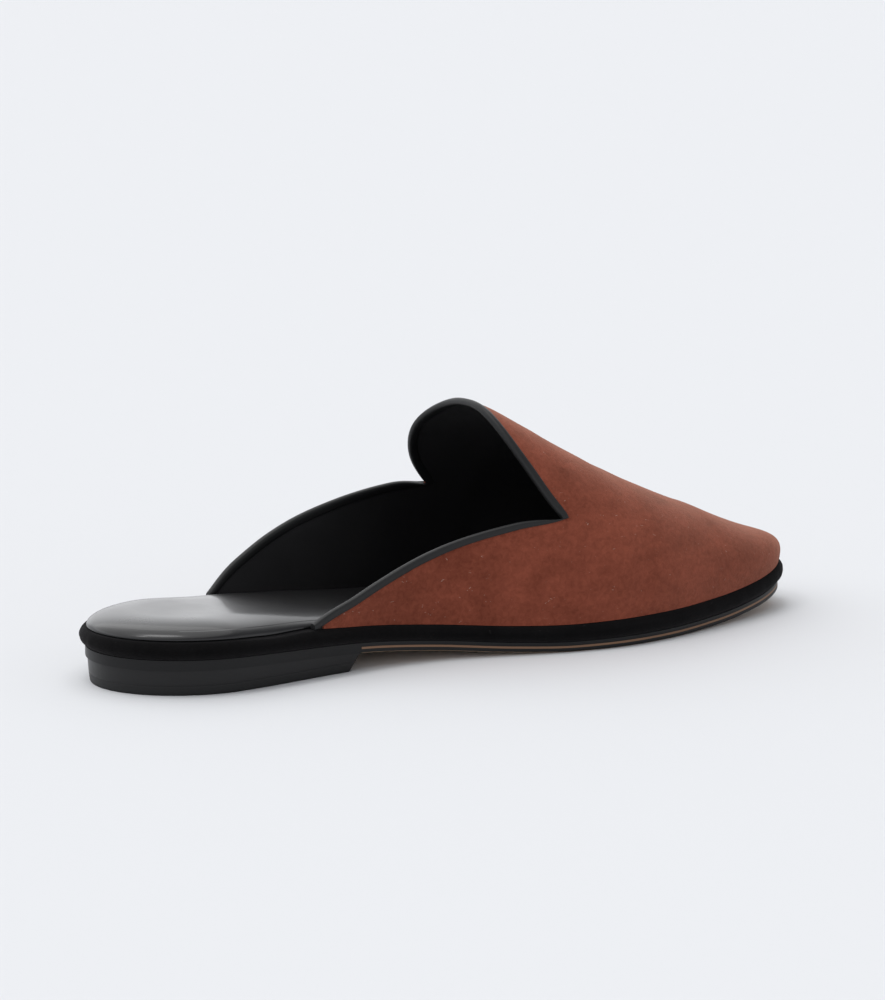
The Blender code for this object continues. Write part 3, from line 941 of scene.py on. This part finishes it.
def last_point(x, y):
    """Point of the last over a place in its flattened pattern.

    The distance from the ridge to the foot of the upper, as a share, is the angle still to
    climb. Width goes with a power of its cosine and a belly, height with its sine. Towards the
    toe the sections fan out round the front end of the ridge.
    """
    front = ridge_front()
    base_x = np.minimum(x, front[0])
    base_y = ridge_y(base_x)
    away = np.stack([x - base_x, y - base_y], axis=-1)
    distance = np.hypot(away[..., 0], away[..., 1])
    side = np.where(y >= base_y, 1.0, -1.0)
    beside = np.where(side > 0, side_reach(base_x, 1), side_reach(base_x, -1)) - base_y
    around = np.arctan2(away[..., 1], away[..., 0])
    reach = np.where(x > front[0], front_reach(around), np.abs(beside))
    climb = (1 - np.clip(distance / reach, 0, 1)) * np.pi / 2
    unit = away / np.maximum(distance, 1e-9)[..., None]
    ahead = np.where(x > front[0], np.cos(around), 0.0) ** 2
    power = smooth(base_x / LENGTH, SECTION[:, 0], SECTION[:, 1])
    power = power + (TOE_POWER - power) * ahead
    belly = smooth(base_x / LENGTH, SECTION[:, 0], SECTION[:, 2])
    belly = belly + (TOE_BELLY - belly) * ahead
    flat = np.cos(climb).clip(0, 1) ** power * (1 + belly * np.sin(2 * climb))
    rise = np.sin(climb) ** SIDE_RISE
    foot_x = base_x + unit[..., 0] * reach
    foot_z = band_top(foot_x / LENGTH) + CLEARANCE
    ridge_z = band_top(base_x / LENGTH) + CLEARANCE
    ridge_z = ridge_z + smooth(base_x / LENGTH, RIDGE[:, 0], RIDGE[:, 1]) * INSTEP_HEIGHT
    out_x = base_x + unit[..., 0] * reach * flat
    out_y = base_y + unit[..., 1] * reach * flat
    out_z = foot_z + (ridge_z - foot_z) * rise + ridge_slope() * (out_x - base_x) * rise ** 2
    return np.stack([out_x, out_y, out_z], axis=-1)


def pattern_place(along, up, side):
    """Place in the flattened pattern at a share of the length and of the climb."""
    x = along * LENGTH
    middle = ridge_y(x)
    return np.column_stack([x, middle + (side_reach(x, side) - middle) * (1 - up)])


def spaced(points, count):
    """The same curve with its points at even steps."""
    steps = np.r_[0, np.cumsum(np.linalg.norm(np.diff(points, axis=0), axis=1))]
    even = np.linspace(0, steps[-1], count)
    return np.column_stack([np.interp(even, steps, points[:, k]) for k in range(points.shape[1])])


def top_edge_half(side):
    """Top line and tab edge on one side, from the heel end of the wing to the ridge."""
    read = np.linspace(0, 1, EDGE_READS)
    along, up = COLLAR[:, :2].T if side > 0 else COLLAR[:, 2:].T
    at = (along - along[0]) / (along[-1] - along[0])
    wing = pattern_place(smooth(read, at, along), smooth(read, at, up), side)
    along, up = TAB[:, 0 if side > 0 else 1], TAB[:, 2]
    at = (up - up[0]) / (1 - up[0])
    tab = pattern_place(spline(read, at, along), smooth(read, at, up), side)
    return spaced(wing, WING_RIBS), spaced(tab, TAB_RIBS)


def upper_ribs():
    """Ribs from the foot of the upper to its top edge, as places in the pattern.

    Those that end on the tab bow towards the ridge, so that they meet its edge squarely.
    """
    sides = {}
    for side in (-1, 1):
        wing, tab = top_edge_half(side)
        start = np.arccos(1 - 2 * COLLAR[0, 0 if side > 0 else 2])
        turns = np.linspace(start, np.pi, FOOT_READS) * side
        foot = spaced(edge(turns, np.full(len(turns), UPPER_OUTLINE)), FOOT_READS)
        wanted = np.r_[
            np.linspace(0, NOTCH_FOOT, WING_RIBS),
            np.linspace(NOTCH_FOOT, 1, TAB_RIBS)[1:],
        ]
        share = np.linspace(0, 1, len(foot))
        foot = np.column_stack([np.interp(wanted, share, foot[:, k]) for k in (0, 1)])
        sides[side] = foot, np.vstack([wing, tab[1:]])
    foot = np.vstack([sides[-1][0], sides[1][0][-2::-1]])
    top = np.vstack([sides[-1][1], sides[1][1][-2::-1]])
    share = np.linspace(0, 1, RIB_READS)[None, :]
    x, y = (foot[:, k, None] * (1 - share) + top[:, k, None] * share for k in (0, 1))
    count = np.arange(len(foot))
    spread = NOTCH_SPREAD / CAD_WING_RIBS * WING_RIBS
    from_end = np.minimum(count, count[::-1])
    bow = RIB_BOW * step(from_end, WING_RIBS - spread, WING_RIBS + spread)
    middle = ridge_y(np.minimum(x, ridge_front()[0]))
    y = middle + (y - middle) * (1 - 4 * bow[:, None] * share * (1 - share))
    return np.stack([x, y], axis=-1)


ribs = upper_ribs()
fine_ribs = last_point(ribs[..., 0], ribs[..., 1])
climb_steps = np.linalg.norm(np.diff(fine_ribs, axis=1), axis=2)
climbed = np.concatenate([np.zeros((len(ribs), 1)), np.cumsum(climb_steps, axis=1)], axis=1)


def rib_places(distance_up):
    """Places in the pattern at the given distances above the foot, and what runs past the top."""
    inside = np.clip(distance_up, 0, climbed[:, -1:])
    places = np.empty((*inside.shape, 2))
    for k, (rib, place) in enumerate(zip(ribs, climbed)):
        places[k] = np.column_stack([np.interp(inside[k], place, rib[:, axis]) for axis in (0, 1)])
    return places, distance_up - inside


def on_ribs(distance_up):
    """Points on every rib at the given distances above the upper's foot, along the surface.

    Past the top edge a rib runs straight on.
    """
    places, past = rib_places(distance_up)
    way = fine_ribs[:, -1] - fine_ribs[:, -4]
    way /= np.linalg.norm(way, axis=1, keepdims=True)
    points = last_point(places[..., 0], places[..., 1])
    return points + np.clip(past, 0, None)[..., None] * way[:, None]


def facing_on_ribs(distance_up):
    """Outward normals at the same distances: the cross product of two small pattern moves."""
    places = rib_places(distance_up)[0]
    x, y = places[..., 0], places[..., 1]
    nudge = 0.00002
    forward = last_point(x + nudge, y) - last_point(x - nudge, y)
    outward = last_point(x, y + nudge) - last_point(x, y - nudge)
    normal = np.cross(forward, outward)
    return normal / np.maximum(np.linalg.norm(normal, axis=2, keepdims=True), 1e-15)


def shell_between(outer, inner):
    """A closed shell between two grids of the same size."""
    ribs_count, rows = outer.shape[:2]
    points = np.vstack([outer.reshape(-1, 3), inner.reshape(-1, 3)])
    shift = ribs_count * rows
    skin = grid_faces(ribs_count, rows)
    rim = np.r_[
        np.arange(rows),
        np.arange(1, ribs_count) * rows + rows - 1,
        (ribs_count - 1) * rows + np.arange(rows - 2, -1, -1),
        np.arange(ribs_count - 2, 0, -1) * rows,
    ]
    after = np.roll(rim, -1)
    wall = np.stack([rim, after, after + shift, rim + shift], axis=-1)
    return points, np.vstack([skin, skin[:, ::-1] + shift, wall])


def soft_creases(grid):
    """Shallow troughs and swells of worn-in suede, in metres along the normal.

    Each is a bump across a line: depth * exp(-(across / width)^2) * exp(-(along / reach)^2).
    """
    x, y, z = grid[..., 0], grid[..., 1], grid[..., 2]
    lift = np.zeros(x.shape)
    # along share, side y, height, direction in degrees, reach, width, depth
    for share, at_y, at_z, direction, reach, width, depth in (
        (0.640, 0.020, 0.060, 78, 0.030, 0.0050, -0.00035),
        (0.685, -0.024, 0.052, 105, 0.028, 0.0055, -0.00035),
        (0.735, 0.006, 0.046, 88, 0.034, 0.0065, -0.00030),
        (0.600, -0.038, 0.036, 60, 0.024, 0.0070, 0.00030),
        (0.560, 0.044, 0.034, 120, 0.026, 0.0080, 0.00030),
        (0.450, -0.034, 0.030, 20, 0.030, 0.0060, -0.00025),
        (0.420, 0.038, 0.032, 160, 0.032, 0.0060, -0.00025),
    ):
        dx, dy, dz = x - share * LENGTH, y - at_y, z - at_z
        angle = np.radians(direction)
        round_side = dy + dz * np.sign(at_y)
        along = dx * np.cos(angle) + round_side * np.sin(angle)
        across = dx * np.sin(angle) - round_side * np.cos(angle)
        lift += depth * np.exp(-(across / width) ** 2 - (along / reach) ** 2)
    return lift


top_line = fine_ribs[:, -1]
travelled = np.r_[0, np.cumsum(np.linalg.norm(np.diff(top_line, axis=0), axis=1))]
from_wing_end = np.minimum(travelled, travelled[-1] - travelled)
wing_end = np.clip(1 - from_wing_end / WING_END_TAPER, 0, 1)[:, None] ** 2
height = climbed[:, -1:] - WING_END_DIP * wing_end
rib_number = np.arange(len(ribs))
from_notch = np.minimum(rib_number, rib_number[::-1]) - (WING_RIBS - 1)
in_notch = np.exp(-(from_notch / NOTCH_RIBS) ** 2)[:, None]
wall_dip = NOTCH_DIP * np.exp(-(from_notch / NOTCH_DIP_RIBS) ** 2)[:, None]
rows_up = (height - wall_dip) * np.linspace(0, 1, UPPER_ROWS)[None, :] ** ROW_SPREAD
wall_grid, wall_normal = on_ribs(rows_up), facing_on_ribs(rows_up)
settle = step(rows_up, 0.0, SETTLE_FROM_FOOT) * step(height - rows_up, *SETTLE_FROM_TOP)
wall_grid = wall_grid + wall_normal * (soft_creases(wall_grid) * settle)[..., None]
suede_part = slice(END_RIBS, -END_RIBS)
suede_grid, suede_normal = wall_grid[suede_part], wall_normal[suede_part]
rust_suede = suede(
    "rust suede",
    RUST_DARK,
    RUST_LIGHT,
    lint=0.30,
    lint_colour=(0.62, 0.50, 0.42),
    sheen=0.40,
    tint=(1.0, 0.58, 0.44),
    strength=0.60,
    Cloud_Scale=30.0,
    Lint=0.745,
)
add_piece(
    "suede_upper",
    *shell_between(suede_grid, suede_grid - suede_normal * SUEDE_WALL),
    rust_suede,
    "rust_suede",
    ["upper"],
)


# Lining: thin smooth black leather glued to the inside of the suede, up to the top edge and a
# little further back than the suede, so that it closes the wings' heel ends under the binding.
LINING_GAP = 0.00002
LINING_DEPTH = 0.0001
LINING_BLACK = (0.0140, 0.0136, 0.0145)
lining_leather = new_material(
    "black lining leather", LINING_BLACK, roughness=0.46, Specular_IOR_Level=0.42
)
lining_grain = place_group(lining_leather, GRAIN, Pebble_Scale=1100.0, Cloud_Scale=40.0)
rough_map(lining_leather, lining_grain.outputs["Cloud"], low=0.40, high=0.54)
bump_from(lining_leather, lining_grain.outputs["Height"], strength=0.10, distance=LINING_DEPTH)
lining_part = slice(LINING_END_RIBS, -LINING_END_RIBS)
lining_grid, lining_normal = wall_grid[lining_part], wall_normal[lining_part]
add_piece(
    "lining",
    *shell_between(
        lining_grid - lining_normal * (SUEDE_WALL + LINING_GAP),
        lining_grid - lining_normal * WALL,
    ),
    lining_leather,
    "black_leather",
)


# Binding: a strip of black leather folded over the raw top edge of suede and lining, all along
# both wings and round the tab, glued and sewn down close to its two edges.
NOTCH_FLATTEN = 0.9
BINDING_BLACK = (0.0065, 0.0066, 0.0070)
BINDING_SECTION = np.array([
    # distance below the top edge, height over the suede
    (0.00240, 0.00002),
    (0.00236, 0.00022),
    (0.00215, 0.00036),
    (0.00160, 0.00044),
    (0.00090, 0.00046),
    (0.00030, 0.00038),
    (-0.00015, 0.00010),
    (-0.00038, -0.00045),
    (-0.00044, -0.00090),
    (-0.00038, -0.00140),
    (-0.00015, -0.00188),
    (0.00040, -0.00216),
    (0.00120, -0.00222),
    (0.00220, -0.00220),
    (0.00285, -0.00212),
    (0.00306, -0.00198),
    (0.00310, -0.00178),
    (0.00240, -0.00140),
    (0.00120, -0.00100),
    (0.00200, -0.00050),
])


def binding_shape():
    """The folded section carried along the top edge.

    A section point lies so far down the ribs and so far out along the normal. The crest sinks to
    the edge in both notches, so that it doesn't cross itself there.
    """
    below = np.repeat(BINDING_SECTION[None, :, 0], len(ribs), axis=0)
    distance_up = height - np.where(below < 0, below * (1 - NOTCH_FLATTEN * in_notch), below)
    grid = on_ribs(distance_up) + facing_on_ribs(distance_up) * BINDING_SECTION[None, :, 1, None]
    count = len(BINDING_SECTION)
    faces = grid_faces(len(grid), count, loop=True).tolist()
    last = (len(grid) - 1) * count
    ends = [list(range(count)), list(range(last, last + count))]
    return grid.reshape(-1, 3), np.array(faces + ends, dtype=object)


binding_leather = new_material(
    "black binding leather", BINDING_BLACK, roughness=0.50, Specular_IOR_Level=0.36
)
binding_grain = place_group(binding_leather, GRAIN, Pebble_Scale=1200.0, Cloud_Scale=50.0)
rough_map(binding_leather, binding_grain.outputs["Cloud"], low=0.44, high=0.58)
bump_from(binding_leather, binding_grain.outputs["Fine"], strength=0.30)
add_piece("top_binding", *binding_shape(), binding_leather, "black_leather", ["binding"])
